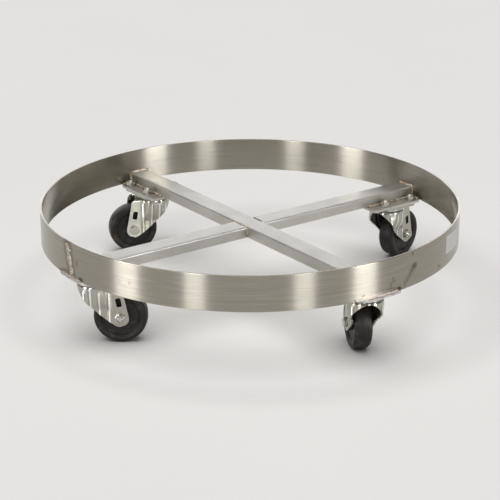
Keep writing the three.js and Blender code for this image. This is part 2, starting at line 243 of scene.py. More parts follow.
def mesh_of(points, faces, sharp=35):
    mesh = bpy.data.meshes.new("mesh")
    mesh.from_pydata([tuple(float(v) * MM for v in p) for p in points], [], faces)
    return tidy(mesh, sharp)


def lathe(profile, segments=64, across=False):
    """A round piece about Z, or about Y if across, from its half outline as (radius, height)."""
    closed = profile[0][0] > 0
    turns = around(segments)
    points = [(*polar(radius, a), height) for radius, height in profile for a in turns]
    if across:
        points = [(x, -z, y) for x, y, z in points]
    return mesh_of(points, grid_faces(len(profile), segments, closed, True))


def bar(outline, start, end, rounding=0.3):
    """A section in the YZ plane run along X, with its end edges just broken."""
    centre = np.mean(outline, axis=0)
    rings = []
    broken = ((start, rounding), (start + rounding, 0), (end - rounding, 0), (end, rounding))
    for x, inset in broken:
        for y, z in outline:
            away = Vector((y - centre[0], z - centre[1]))
            share = 1 - inset / max(away.length, 1)
            rings.append((x, centre[0] + away.x * share, centre[1] + away.y * share))
    count = len(outline)
    faces = grid_faces(4, count, False, True)
    faces += [tuple(range(count))[::-1], tuple(range(3 * count, 4 * count))]
    return mesh_of(rings, faces)


def linked(name, data):
    """A new object in the scene, made of a mesh, a curve, a lamp or a camera."""
    made = bpy.data.objects.new(name, data)
    bpy.context.scene.collection.objects.link(made)
    return made


def evaluated(name, maker):
    """The mesh of a curve or of an object with modifiers, once everything in it is applied."""
    bpy.context.view_layer.update()
    graph = bpy.context.evaluated_depsgraph_get()
    shape = maker.evaluated_get(graph)
    mesh = bpy.data.meshes.new_from_object(shape, preserve_all_data_layers=True, depsgraph=graph)
    mesh.name = name
    bpy.data.objects.remove(maker)
    return mesh


def modify(maker, kind, **settings):
    """Adds a modifier to an object and sets it."""
    added = maker.modifiers.new(kind, kind)
    for key, value in settings.items():
        setattr(added, key, value)


def flat_shaded_flats(name, mesh):
    """The same mesh with normals weighted by area, so that flats next to round edges look flat."""
    maker = linked(name, mesh)
    modify(maker, "WEIGHTED_NORMAL", keep_sharp=True)
    return evaluated(name, maker)


def sheet_metal(outlines, bottom, top, edge=0.35):
    """A flat plate between two heights: the first outline is its edge, the rest are holes."""
    curve = bpy.data.curves.new("outline", "CURVE")
    curve.dimensions = "2D"
    curve.fill_mode = "BOTH"
    curve.extrude = ((top - bottom) / 2 - edge) * MM
    curve.bevel_depth = edge * MM
    curve.bevel_resolution = 1
    curve.offset = -edge * MM
    for outline in outlines:
        spline = curve.splines.new("POLY")
        spline.points.add(len(outline) - 1)
        for point, (x, y) in zip(spline.points, outline):
            point.co = (x * MM, y * MM, 0, 1)
        spline.use_cyclic_u = True
    mesh = evaluated("sheet", linked("sheet", curve))
    mesh.transform(Matrix.Translation((0, 0, (top + bottom) / 2 * MM)))
    return tidy(mesh)


def nut_mesh(bottom, top, bore):
    """A hexagon with chamfered corners and a countersunk bore, about Z."""
    segments = 96
    chamfer_radius = NUT_FLATS / 2 * 0.97
    chamfer_slope = 1.8
    chamfer_height = 0.14 * NUT_FLATS
    sink = 0.6
    height = top - bottom
    low = np.linspace(0, chamfer_height, 7)
    middle = np.linspace(chamfer_height, height - chamfer_height, 3)
    high = np.linspace(height - chamfer_height, height, 7)
    levels = np.concatenate([low, middle[1:], high[1:]])
    points = []
    for angle in around(segments):
        flat = NUT_FLATS / 2 / cos(remainder(angle, pi / 3))
        column = [(bore, sink), (bore + sink, 0.0)]
        for level in levels:
            cone = chamfer_radius + chamfer_slope * min(level, height - level)
            column.append((min(flat, cone), level))
        column += [(bore + sink, height), (bore, height - sink)]
        points += [(*polar(r, angle), bottom + z) for r, z in column]
    return mesh_of(points, grid_faces(segments, len(levels) + 4, True, True), 30)


def washer_mesh(bore, radius, bottom, top):
    return lathe(rounded_box(bore, radius, bottom, top, 0.1, 0.3), 48)


def thread_profile(radius, start, end, pitch=1.25, depth=0.35):
    """Half outline of a threaded end from start up to its flat tip."""
    profile = []
    turns = max(1, int((end - start - 0.8) / pitch))
    for k in range(turns):
        base = start + k * pitch
        profile += [(radius - depth, base + 0.1 * pitch), (radius, base + 0.45 * pitch)]
        profile += [(radius, base + 0.6 * pitch), (radius - depth, base + 0.95 * pitch)]
    return profile + [(radius - 0.4, end - 0.5), (radius - 0.9, end), (0, end)]


def join(meshes):
    """Several meshes as one, each keeping its own material number."""
    work = bmesh.new()
    for mesh in meshes:
        work.from_mesh(mesh)
    joined = bpy.data.meshes.new("joined")
    work.to_mesh(joined)
    work.free()
    joined.set_sharp_from_angle(angle=radians(35))
    return joined


def weld_bead(path, radius, seed, flatten=1.0, outward=(0, 0, 1)):
    """A rippled run of weld along path, with tapered ends: flatten is its rise over its width."""
    chance = random.Random(seed)
    ends = [Vector(p) for p in path]
    lengths = [(b - a).length for a, b in zip(ends, ends[1:])]
    total = sum(lengths)
    step = 0.55
    pitch = 2.1
    sides = 10
    points = []
    rings = max(6, int(total / step))
    drift = 0.0
    for k in range(rings + 1):
        along = total * k / rings
        rest = along
        part = 0
        while part < len(lengths) - 1 and rest > lengths[part]:
            rest -= lengths[part]
            part += 1
        direction = (ends[part + 1] - ends[part]).normalized()
        centre = ends[part] + direction * rest
        side = direction.cross(Vector(outward))
        side = side.normalized() if side.length > 0.1 else Vector((1, 0, 0))
        up = side.cross(direction)
        drift = 0.85 * drift + chance.uniform(-0.12, 0.12)
        phase = (along / pitch) % 1.0
        ripple = 0.88 + 0.2 * sqrt(1 - phase) + 0.25 * drift
        taper = min(1.0, 0.35 + along / (2 * radius), 0.35 + (total - along) / (2 * radius))
        size = radius * ripple * taper
        for angle in around(sides):
            out = side * cos(angle) + up * sin(angle) * flatten
            points.append(centre + out * size + side * drift * 0.4)
    faces = grid_faces(rings + 1, sides, False, True)
    faces += [tuple(range(sides)), tuple(range(rings * sides, (rings + 1) * sides))]
    return mesh_of(points, faces, 60)


def piece(name, mesh, place, body, node, slot, look=None):
    """Puts a mesh in place on its CAD body, for its CAD node, in its slot's finish or its look."""
    own = flat_shaded_flats(name, mesh)
    own.materials.clear()
    own.materials.append(FINISHES[look or slot])
    shown = linked(name, own)
    shown.matrix_world = Matrix.Translation(place.translation * MM) @ place.to_3x3().to_4x4()
    shown["seed"] = float(sum(map(ord, name)) % 97)
    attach(shown, body)
    if node:
        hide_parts(node)


def ring_point(degrees, radius, height):
    angle = radians(degrees)
    return (radius * sin(angle), -radius * cos(angle), height)


# ---- Ring, cross and pads ------------------------------------------------------------------
def band_mesh():
    """The rolled flat bar, with softened edges and the slight waviness of rolling."""
    waves = (5, 9, 14, 23)
    wave_depth = 0.12
    turns = around(480)
    section = rounded_box(RING_INNER, RING_OUTER, RING_BOTTOM, RING_TOP, 0.5, steps=3)
    middle = len(section) // 2
    levels = np.linspace(RING_BOTTOM, RING_TOP, 9)[1:-1]
    outer = [(RING_OUTER, z) for z in levels]
    inner = [(RING_INNER, z) for z in levels[::-1]]
    section = section[:middle] + outer + section[middle:] + inner
    points = []
    for angle in turns:
        wave = sum(sin(n * angle + 1.7 * n) for n in waves) / len(waves)
        roll = wave_depth * (wave - 1)
        points += [ring_point(to_degrees(angle), radius + roll, z) for radius, z in section]
    return mesh_of(points, grid_faces(len(turns), len(section), True, True))


def channel_section():
    """A channel seen end on, its flanges down and its web rounded outside and inside."""
    outside, inside, toe = 2.6, 1.2, 0.4
    wall = CHANNEL_HALF - CHANNEL_WALL
    web = CHANNEL_TOP - CHANNEL_WALL
    corners = [
        (-CHANNEL_HALF, RING_BOTTOM, toe),
        (-wall, RING_BOTTOM, toe),
        (-wall, web, inside),
        (wall, web, inside),
        (wall, RING_BOTTOM, toe),
        (CHANNEL_HALF, RING_BOTTOM, toe),
        (CHANNEL_HALF, CHANNEL_TOP, outside),
        (-CHANNEL_HALF, CHANNEL_TOP, outside),
    ]
    return filleted(corners)


def pad_mesh():
    """The plate under a channel's end, its outer edge following the ring."""
    lip = PAD_HALF - PAD_CORNER
    edge = RING_OUTER - 0.2
    widest = asin(lip / edge)
    corner_centre = edge * cos(widest) - SWIVEL_RADIUS - PAD_CORNER
    corner = []
    for k in range(7):
        turn = radians(90 * k / 6)
        x = corner_centre + PAD_CORNER * sin(turn)
        corner.append((x, -lip - PAD_CORNER * cos(turn)))
    outline = [(PAD_INNER, PAD_HALF), (PAD_INNER, -PAD_HALF)] + corner
    for k in range(1, 16):
        angle = widest * (2 * k / 16 - 1)
        outline.append(polar(edge, angle, -SWIVEL_RADIUS))
    outline += [(x, -y) for x, y in reversed(corner)]
    return sheet_metal([outline, circle(PIN_HEAD + 3)], PAD_BOTTOM, PAD_TOP)


def pad_welds(name):
    """Beads that hold one pad and its channel: to the ring, and along both channel sides."""
    beads = []
    foot = RING_BOTTOM + 0.4
    for side in (-1, 1):
        y = side * (CHANNEL_HALF + 0.4)
        start, end = (PAD_INNER + 4, y, foot), (PAD_OUTER - 12, y, foot)
        beads.append(weld_bead([start, end], 2.0, name + str(side)))
        inner = sqrt(RING_INNER**2 - y**2) - SWIVEL_RADIUS - 0.6
        corner = [(inner, y, foot + 1), (inner, y, CHANNEL_TOP - 1)]
        beads.append(weld_bead(corner, 2.2, name + "up" + str(side)))
    inner = sqrt(RING_INNER**2 - CHANNEL_HALF**2) - SWIVEL_RADIUS
    over = [(inner + 0.4, y, CHANNEL_TOP + 0.2) for y in (-CHANNEL_HALF, 0, CHANNEL_HALF)]
    beads.append(weld_bead(over, 2.4, name + "over"))
    lip = []
    for k in range(13):
        angle = asin((PAD_HALF - 3) / RING_INNER) * (k / 6 - 1)
        lip.append((*polar(RING_INNER - 0.8, angle, -SWIVEL_RADIUS), foot))
    beads.append(weld_bead(lip, 1.9, name + "lip"))
    return join(beads)


def ground_weld(name):
    """The weld between the ring's lower edge and a pad's lip, ground nearly flush outside."""
    radius = RING_OUTER - 1.35
    path = []
    for k in range(15):
        angle = asin((PAD_HALF - PAD_CORNER + 1) / RING_OUTER) * (k / 7 - 1)
        height = RING_BOTTOM + 0.2 + 0.5 * sin(5 * k)
        path.append((*polar(radius, angle, -SWIVEL_RADIUS), height))
    return weld_bead(path, 1.5, name + "ground", 2.2)


def cross_welds():
    """Beads where the two short channels butt against the long one."""
    beads = []
    butt = CHANNEL_HALF + 0.2
    for side in (-1, 1):
        y = side * butt
        top = [(-CHANNEL_HALF + 1, y, CHANNEL_TOP - 0.8), (CHANNEL_HALF - 1, y, CHANNEL_TOP - 0.8)]
        beads.append(weld_bead(top, 1.8, "top" + str(side)))
        for end in (-1, 1):
            x = end * butt
            up = [(x, y, RING_BOTTOM + 2.4), (x, y, CHANNEL_TOP - 2)]
            beads.append(weld_bead(up, 1.8, "up" + str(side) + str(end)))
    return join(beads)


def seam_point(share, radius, aside=0.0, lift=0.0):
    """A point on the band's seam: share 0 at its foot and 1 at its top, aside in degrees."""
    height = RING_BOTTOM + 2 + (RING_TOP - RING_BOTTOM - 4) * share
    return ring_point(SEAM_ANGLE - SEAM_LEAN * share + aside, radius, height + lift)


def seam_weld():
    """The butt weld that closes the band, ground back unevenly outside and left as laid inside."""
    chance = random.Random("seam")
    away = ring_point(SEAM_ANGLE, 1, 0)
    beads = []
    runs = ((0.0, 0.4, 5.0), (0.3, 0.76, 6.4), (0.64, 1.0, 5.6))
    for run, (start, end, radius) in enumerate(runs):
        path = []
        for k in range(9):
            share = start + (end - start) * k / 8
            path.append(seam_point(share, RING_OUTER - 0.75, chance.uniform(-0.35, 0.35)))
        beads.append(weld_bead(path, radius, "outside" + str(run), 0.2, away))
    inside = [seam_point(share, RING_INNER + 0.3) for share in (0, 1)]
    beads.append(weld_bead(inside, 2.6, "inside", 0.8, away))
    return join(beads)


def seam_blobs():
    """Bright lumps left along the ground seam, most of them at its head and foot."""
    chance = random.Random("blobs")
    away = ring_point(SEAM_ANGLE, 1, 0)
    beads = []
    for number, share in enumerate((0.01, 0.03, 0.08, 0.14, 0.3, 0.38, 0.44, 0.8, 0.9, 0.96)):
        aside = chance.uniform(-1.3, 1.3)
        lean = chance.uniform(-2.5, 2.5)
        size = chance.uniform(1.4, 2.3)
        ends = [seam_point(share, RING_OUTER - 0.1, aside + end, lean * end) for end in (-0.4, 0.4)]
        beads.append(weld_bead(ends, size, "blob" + str(number), 0.5, away))
    return join(beads)


def label_mesh():
    """A thin blank film label that follows the band's curve, stuck on slightly askew."""
    width = radians(LABEL["end"] - LABEL["start"]) * RING_OUTER
    height = LABEL["top"] - LABEL["bottom"]
    rounding = 1.5
    columns, rows = 40, 20
    points = []
    for layer in (0.0, LABEL["thickness"]):
        for r in range(rows):
            v = height * r / (rows - 1)
            near = max(0.0, rounding - min(v, height - v))
            trim = rounding - sqrt(rounding**2 - near**2)
            for c in range(columns):
                s = trim + (width - 2 * trim) * c / (columns - 1)
                angle = LABEL["start"] + to_degrees(s / RING_OUTER)
                z = RING_BOTTOM + LABEL["bottom"] + v + LABEL["drop"] * (0.5 - s / width)
                points.append(ring_point(angle, RING_OUTER - 0.02 + layer, z))
    faces = grid_faces(rows, columns)
    count = rows * columns
    faces += [tuple(i + count for i in face)[::-1] for face in faces]
    rim = list(range(columns))
    rim += [r * columns + columns - 1 for r in range(1, rows)]
    rim += [(rows - 1) * columns + c for c in range(columns - 2, -1, -1)]
    rim += [r * columns for r in range(rows - 2, 0, -1)]
    for a, b in zip(rim, rim[1:] + rim[:1]):
        faces.append((a, b, b + count, a + count))
    return mesh_of(points, faces)


# ---- Caster --------------------------------------------------------------------------------
def top_plate_mesh():
    """The caster's mounting plate, a square with its corners cut off."""
    far = PLATE_HALF
    cut = PLATE_HALF - PLATE_CORNER
    corners = [(-cut, -far), (cut, -far), (far, -cut), (far, cut)]
    corners += [(cut, far), (-cut, far), (-far, cut), (-far, -cut)]
    outline = filleted([(x, y, 4) for x, y in corners], steps=3)
    return sheet_metal([outline, circle(PIN_RADIUS + GAP)], PLATE_BOTTOM, PLATE_TOP, 0.5)


def race_mesh():
    """The pressed cup under the top plate: a rolled outer wall and a flat web."""
    corners = [
        (RACE_RADIUS - RACE_WALL, RACE_BOTTOM, 0.5),
        (RACE_RADIUS, RACE_BOTTOM, 0.7),
        (RACE_RADIUS, RACE_TOP, 2.2),
        (RACE_HOLE, RACE_TOP, 0.3),
        (RACE_HOLE, RACE_TOP - RACE_WALL, 0.3),
        (RACE_RADIUS - RACE_WALL, RACE_TOP - RACE_WALL, 1.2),
    ]
    return lathe(filleted(corners, steps=5), 96)


def ball_ring_mesh():
    """Round balls in a flat cage."""
    wide, thick = 2.6, 0.7
    bottom, top = BALL_HEIGHT - thick, BALL_HEIGHT + thick
    cage = rounded_box(BALL_PITCH - wide, BALL_PITCH + wide, bottom, top, 0.3)
    meshes = [lathe(cage, 60)]
    arc = [radians(-90 + 180 * k / 12) for k in range(13)]
    sphere = [(max(0, x), y) for x, y in (polar(BALL_RADIUS, a) for a in arc)]
    for x, y in circle(BALL_PITCH, BALL_COUNT):
        ball = lathe(sphere, 20)
        ball.transform(Matrix.Translation(Vector((x, y, BALL_HEIGHT)) * MM))
        meshes.append(ball)
    return join(meshes)


def kingpin_mesh():
    """A rivet with a domed foot under the crown and a flattened head on the plate."""
    foot = CROWN_TOP - SHEET - GAP
    head = PLATE_TOP + GAP
    corners = [
        (0, PIN_BOTTOM, 0),
        (PIN_HEAD * 0.55, PIN_BOTTOM + 0.3, 6),
        (PIN_HEAD, PIN_BOTTOM + 3.4, 2.5),
        (PIN_HEAD, foot, 0.4),
        (PIN_RADIUS, foot, 0),
        (PIN_RADIUS, head, 0),
        (PIN_HEAD, head, 0.4),
        (PIN_HEAD - 1.2, PIN_TOP, 1.5),
        (0, PIN_TOP, 0),
    ]
    return lathe(filleted(corners, closed=False, steps=5), 64)


def plate_bolt_mesh():
    """A round-headed bolt with a washer, a chamfered nut and a threaded end."""
    head_top = PLATE_BOTTOM - GAP
    washer_bottom = PAD_TOP + GAP
    nut_bottom = washer_bottom + WASHER_THICKNESS
    nut_top = washer_bottom + NUT_HEIGHT
    dome = [
        (0, BOLT_BOTTOM, 0),
        (BOLT_HEAD_RADIUS * 0.7, BOLT_BOTTOM + 0.25, 8),
        (BOLT_HEAD_RADIUS, head_top - 0.5, 0.6),
        (BOLT_HEAD_RADIUS - 0.1, head_top, 0.2),
        (BOLT_RADIUS, head_top, 0),
        (BOLT_RADIUS, nut_top - 0.2, 0),
    ]
    profile = filleted(dome, closed=False, steps=5) + thread_profile(BOLT_RADIUS, nut_top, BOLT_TOP)
    washer = washer_mesh(BOLT_RADIUS + WASHER_SLACK, WASHER_RADIUS, washer_bottom, nut_bottom)
    nut = nut_mesh(nut_bottom, nut_top, BOLT_RADIUS)
    return join([lathe(profile, 40), washer, nut])


def touch_point(x, z, side):
    """Where a line from (x, z) touches the fork's round end, at its front (1) or rear (-1)."""
    dx, dz = x - LEAD, z - AXLE_HEIGHT
    turn = atan2(dz, dx) + side * acos(FORK_END_RADIUS / hypot(dx, dz))
    return polar(FORK_END_RADIUS, turn, LEAD, AXLE_HEIGHT)


def bent_line(start, bend, end, count):
    """Points from start to end along a curve that is drawn towards bend."""
    t = np.linspace(0, 1, count)[:, None]
    return (1 - t) ** 2 * np.array(start) + 2 * t * (1 - t) * np.array(bend) + t**2 * np.array(end)


# The fork's curved front edge seen from its side, and half its width seen end on, both upwards.
FRONT_TOP = (-CROWN_RADIUS, FORK_FRONT_BOTTOM)
FRONT_CURVE = bent_line(FRONT_TOP, FORK_BULGE, touch_point(*FORK_BULGE, 1), 200)[::-1]
FLARE_CURVE = bent_line(*FLARE, 60)


def left_edge(z):
    """The fork's front edge at a height, seen from its side."""
    if z < FRONT_CURVE[0][1]:
        return LEAD - sqrt(max(0, FORK_END_RADIUS**2 - (z - AXLE_HEIGHT) ** 2))
    return float(np.interp(z, FRONT_CURVE[:, 1], FRONT_CURVE[:, 0]))


def rear_edge(z):
    """The fork's rear edge at a height: the rounded end, a leaning edge and a curve to the roof."""
    rear_x, rear_z = FORK_REAR_TOP
    touch_x, touch_z = touch_point(rear_x, rear_z, -1)
    if z < touch_z:
        return LEAD + sqrt(max(0, FORK_END_RADIUS**2 - (z - AXLE_HEIGHT) ** 2))
    if z < rear_z:
        return touch_x + (rear_x - touch_x) * (z - touch_z) / (rear_z - touch_z)
    share = min(1.0, (z - rear_z) / (CROWN_TOP - rear_z))
    return rear_x - FORK_REAR_ROOF * (1 - sqrt(1 - share**2))


def flare_width(z):
    """Half the fork's width at a height, seen end on."""
    return float(np.interp(z, FLARE_CURVE[:, 1], FLARE_CURVE[:, 0]))


def soft_min(a, b, blend):
    share = min(1.0, max(0.0, 0.5 + 0.5 * (b - a) / blend))
    return b + (a - b) * share - blend * share * (1 - share)


def fork_rib(x, z):
    """The shallow pressed ridges that run down each leg from the shoulder."""
    height, reach, blunt = 0.7, 2.7, 0.3
    fade = min(1.0, max(0.0, (CROWN_TOP - 5 - z) / 6))
    ridge = 0.0
    for middle in FORK_RIDGES:
        away = hypot(x - middle, blunt) - blunt
        ridge = max(ridge, height * (1 - away / reach))
    return fade * ridge


def fork_column(share):
    """Points up one column of the fork's skin: share 1 is the rear edge, -1 the crown's front."""
    shoulder = 4.0
    crown_blend, flare_blend = 3.0, 2.5
    rows, roof_rows = 46, 5

    def across(z):
        if share < 0:
            return -CROWN_RADIUS * sin(-share * pi / 2)
        return share * rear_edge(z)

    low, high = AXLE_HEIGHT - FORK_END_RADIUS, CROWN_TOP
    for _ in range(50):
        middle = (low + high) / 2
        if across(middle) >= left_edge(middle):
            high = middle
        else:
            low = middle
    bottom = high
    column = []
    for r in range(rows):
        z = CROWN_TOP - (CROWN_TOP - bottom) * (1 - r / (rows - 1)) ** 2
        lift = max(0.0, z - CROWN_TOP + shoulder)
        inset = shoulder - sqrt(max(0.0, shoulder**2 - lift**2))
        radius = CROWN_RADIUS - inset
        x = across(z)
        if share < 0:
            x *= radius / CROWN_RADIUS
        round_width = sqrt(max(0.0, radius**2 - x**2))
        width = round_width
        if x > 0:
            width = -soft_min(-round_width, inset - LEG_OUTER, crown_blend)
        narrow = min(1.0, round_width / LEG_OUTER) if share < 0 else 1.0
        width = soft_min(width, flare_width(z), flare_blend * narrow + 0.01)
        if x > 0:  # the legs are as wide as in the CAD
            width = max(width, LEG_OUTER - inset)
        column.append((x, max(0.0, width) + fork_rib(x, z) * narrow, z))
    x, width, z = column[-1]
    return column + [(x, width * (1 - r / roof_rows), z) for r in range(1, roof_rows + 1)]


def fork_cutter():
    """What is cut out of the fork: a slot through both legs and the kingpin's hole."""
    wide, long = SLOT["width"] / 2, SLOT["length"] / 2
    slot = sheet_metal([rounded_box(-wide, wide, -long, long, 2.2, steps=4)], -40, 40, 0.01)
    slot.transform(
        Matrix.Translation((SLOT["across"] * MM, 0, SLOT["height"] * MM))
        @ Matrix.Rotation(radians(-SLOT["tilt"]), 4, "Y")
        @ Matrix.Rotation(radians(90), 4, "X")
    )
    hole = [circle(PIN_RADIUS + PIN_CLEARANCE, 64)]
    pin_hole = sheet_metal(hole, CROWN_TOP - 2 * SHEET, CROWN_TOP + SHEET, 0.01)
    return linked("cutter", join([slot, pin_hole]))


def fork_mesh():
    """The pressed fork: one ribbed skin over the crown and both legs, thickened and pierced."""
    shares = list(np.linspace(1, 0, 58)) + list(np.linspace(0, -1, 36)[1:])
    half = [fork_column(share) for share in shares]
    columns = half + [[(x, -y, z) for x, y, z in column] for column in half[-2::-1]]
    points = [p for column in columns for p in column]
    skin = mesh_of(points, grid_faces(len(columns), len(columns[0])), 60)
    roof = max(skin.polygons, key=lambda face: face.center.z)
    if roof.normal.z < 0:
        skin.flip_normals()
    maker = linked("fork_maker", skin)
    cutter = fork_cutter()
    sharp = radians(55)
    modify(maker, "SOLIDIFY", thickness=SHEET * MM, offset=-1, use_even_offset=True)
    modify(maker, "BOOLEAN", operation="DIFFERENCE", solver="EXACT", object=cutter)
    modify(maker, "BEVEL", limit_method="ANGLE", angle_limit=sharp, width=0.4 * MM, segments=2)
    mesh = evaluated("fork", maker)
    bpy.data.objects.remove(cutter)
    for polygon in mesh.polygons:
        polygon.use_smooth = True
    mesh.set_sharp_from_angle(angle=radians(40))
    return mesh


def wheel_mesh():
    """A crowned tread with round shoulders, a stepped side, a web and a hub."""
    right = [
        (WHEEL_BORE, HUB_HALF, 0.4),
        (HUB_RADIUS - 0.6, HUB_HALF, 0.8),
        (HUB_RADIUS, WEB_HALF, 1.6),
        (WHEEL_RADIUS - 12, WEB_HALF, 1.0),
        (WHEEL_RADIUS - 10.6, TREAD_HALF - 1.1, 0.8),
        (WHEEL_RADIUS - 7.0, TREAD_HALF - 0.3, 0.4),
        (WHEEL_RADIUS - 6.4, TREAD_HALF, 0.4),
        (WHEEL_RADIUS - 3.2, TREAD_HALF - 0.1, 2.4),
        (WHEEL_RADIUS - 0.7, TREAD_HALF - 3.4, 3.6),
        (WHEEL_RADIUS, 0.35, 0.3),
    ]
    left = [(radius, -y, rounding) for radius, y, rounding in right]
    return lathe(filleted(left + right[::-1], steps=5), 128, across=True)


def sleeve_mesh():
    """The plain bearing between the axle and the wheel."""
    bore = AXLE_RADIUS + GAP
    outline = rounded_box(bore, SLEEVE_RADIUS, -SLEEVE_HALF, SLEEVE_HALF, 0.2, 0.5, 3)
    return lathe(outline, 48, across=True)


def axle_meshes(name):
    """The axle bolt and its nut, each on its own side of the fork as in the CAD."""
    place = PLACES[name]["wheel"]
    shank = points_of(name + "_axle_bolt", place)[:, 1]
    nut_span = points_of(name + "_axle_nut", place)[:, 1]
    side = 1 if nut_span.mean() > 0 else -1
    face = LEG_OUTER + GAP
    seat = face + AXLE_WASHER
    nut_top = np.abs(nut_span).max()
    head_top = np.abs(shank[shank * side < 0]).max()
    tip = (shank * side).max()
    flange = [
        (0, -seat, 0),
        (AXLE_FLANGE, -seat, 0.3),
        (AXLE_FLANGE, -face, 0.2),
        (AXLE_RADIUS, -face, 0),
        (AXLE_RADIUS, nut_top - 0.2, 0),
    ]
    profile = filleted(flange, closed=False, steps=3)
    shaft = lathe(profile + thread_profile(AXLE_RADIUS, nut_top, tip, 0.9), 40)
    head = nut_mesh(-head_top, -face - 0.9, 0.8)
    dimple = -head_top + 0.35
    cap = lathe([(0, dimple), (1.5, dimple), (1.5, -seat), (0, -seat)], 32)
    bore = AXLE_RADIUS + WASHER_SLACK
    washer = washer_mesh(bore, AXLE_FLANGE, face, seat)
    nut = nut_mesh(seat, nut_top, bore)
    meshes = [join([shaft, head, cap]), join([washer, nut])]
    for mesh in meshes:
        mesh.transform(Matrix.Rotation(radians(-90 * side), 4, "X"))
    return meshes


# ---- Materials -----------------------------------------------------------------------------
class Painter:
    """Short calls that add shader nodes to one material and join them.

    own is the piece's own coordinates in mm, and place is the same shifted by its seed, so that
    copies of a piece differ.
    """

    def __init__(self, name):
        self.material = bpy.data.materials.new(name)
        self.material.use_nodes = True
        self.tree = self.material.node_tree
        self.shader = self.tree.nodes["Principled BSDF"]
        coordinates = self.node("ShaderNodeTexCoord").outputs["Object"]
        self.own = self.vector("SCALE", coordinates, Scale=1 / MM)
        seed = self.node("ShaderNodeAttribute", attribute_type="OBJECT", attribute_name="seed")
        shift = self.vector("SCALE", (13.1, 7.7, 3.9), Scale=seed.outputs["Fac"])
        self.place = self.vector("ADD", self.own, shift)

    def put(self, socket, value):
        if isinstance(value, bpy.types.NodeSocket):
            self.tree.links.new(value, socket)
        else:
            socket.default_value = value

    def node(self, kind, inputs=(), **settings):
        made = self.tree.nodes.new(kind)
        for key, value in settings.items():
            setattr(made, key, value)
        for key, value in dict(inputs).items():
            self.put(made.inputs[key], value)
        return made

    def math(self, operation, a, b=0.0):
        return self.node("ShaderNodeMath", {0: a, 1: b}, operation=operation).outputs[0]

    def plus(self, a, b):
        return self.math("ADD", a, b)

    def times(self, a, b):
        return self.math("MULTIPLY", a, b)

    def apart(self, a, b):
        """How far a is from b, either way."""
        return self.math("ABSOLUTE", self.math("SUBTRACT", a, b))

    def span(self, value, low, high, to_low=0.0, to_high=1.0):
        inputs = {"Value": value, "From Min": low, "From Max": high}
        inputs.update({"To Min": to_low, "To Max": to_high})
        made = self.node("ShaderNodeMapRange", inputs, interpolation_type="SMOOTHSTEP")
        return made.outputs[0]

    def noise(self, scale, detail=3.0, roughness=0.55, vector=None):
        inputs = {"Vector": vector or self.place, "Scale": scale}
        inputs.update({"Detail": detail, "Roughness": roughness})
        return self.node("ShaderNodeTexNoise", inputs).outputs["Fac"]

    def mix(self, share, first, second):
        made = self.node("ShaderNodeMix", data_type="RGBA", blend_type="MIX")
        self.put(made.inputs[0], share)
        self.put(made.inputs[6], first)
        self.put(made.inputs[7], second)
        return made.outputs[2]

    def over(self, under, color, value, low, high, most=1.0):
        """A colour laid over another: none of it where value is low, most where it is high."""
        return self.mix(self.span(value, low, high, 0.0, most), under, color)

    def vector(self, operation, first, second=None, **others):
        made = self.node("ShaderNodeVectorMath", operation=operation)
        self.put(made.inputs[0], first)
        if second is not None:
            self.put(made.inputs[1], second)
        for key, value in others.items():
            self.put(made.inputs[key], value)
        return made.outputs["Value" if operation == "LENGTH" else "Vector"]

    def stretched(self, vector, scale):
        return self.vector("MULTIPLY", vector, scale)

    def split(self, vector):
        return self.node("ShaderNodeSeparateXYZ", {0: vector}).outputs

    def flat(self, x, y, z):
        return self.node("ShaderNodeCombineXYZ", {0: x, 1: y, 2: z}).outputs[0]

    def drawn(self, strength):
        """Fine grain around the piece's Z, which spreads reflections up and down."""
        self.shader.inputs["Anisotropic"].default_value = strength
        self.shader.inputs["Anisotropic Rotation"].default_value = 0.25
        tangent = self.node("ShaderNodeTangent", direction_type="RADIAL", axis="Z")
        self.put(self.shader.inputs["Tangent"], tangent.outputs[0])

    def finish(self, color, roughness, height, bump=0.2, distance=0.1, metallic=1.0):
        self.put(self.shader.inputs["Base Color"], color)
        self.put(self.shader.inputs["Roughness"], roughness)
        self.shader.inputs["Metallic"].default_value = metallic
        inputs = {"Strength": bump, "Distance": distance * MM, "Height": height}
        self.put(self.shader.inputs["Normal"], self.node("ShaderNodeBump", inputs).outputs[0])
        return self.material


# Places on the band's lower edge where a pad's weld has been ground back, in degrees.
GROUND_PATCHES = [to_degrees(atan2(p["base"].translation.x, -p["base"].translation.y))
                  for p in PLACES.values()]


def band_run(degrees):
    """Distance along the band's outside from the side opposite the seam, in mm."""
    return remainder(radians(degrees - SEAM_ANGLE - 180), 2 * pi) * RING_OUTER


# Stains on the band: angle from the front, height above its lower edge, half width and half
# height in mm, and strength.
BAND_STAINS = (
    (-34.5, 22, 1.8, 4.0, 0.45),
    (-31.5, 23, 3.2, 5.0, 0.55),
    (-30.0, 9, 1.8, 3.0, 0.4),
    (-49.0, 4, 6.0, 3.5, 0.9),
    (-50.5, 25, 3.0, 6.0, 0.35),
    (27.0, 2, 2.6, 1.6, 0.95),
    (29.5, 7, 3.4, 1.5, 0.9),
    (41.0, 4, 4.0, 3.0, 0.8),
    (43.1, 8, 2.8, 6.0, 0.3),
    (44.0, 13, 2.8, 6.0, 0.32),
    (44.9, 18, 3.0, 6.0, 0.34),
    (45.6, 23, 4.4, 5.0, 0.45),
    (46.6, 28, 6.0, 6.0, 0.6),
    (38.1, 13, 2.6, 5.5, 0.3),
    (38.9, 18, 2.6, 5.5, 0.34),
    (45.8, 47, 2.6, 3.0, 0.45),
    (58.8, 8, 4.0, 3.0, 0.4),
)


def band_patch(paint, flat, degrees, up, half_run, half_up):
    """Distance from the middle of a patch on the unrolled band, 1 at the patch's own edge."""
    away = paint.vector("SUBTRACT", flat, (band_run(degrees), up, 0))
    return paint.vector("LENGTH", paint.stretched(away, (1 / half_run, 1 / half_up, 1)))


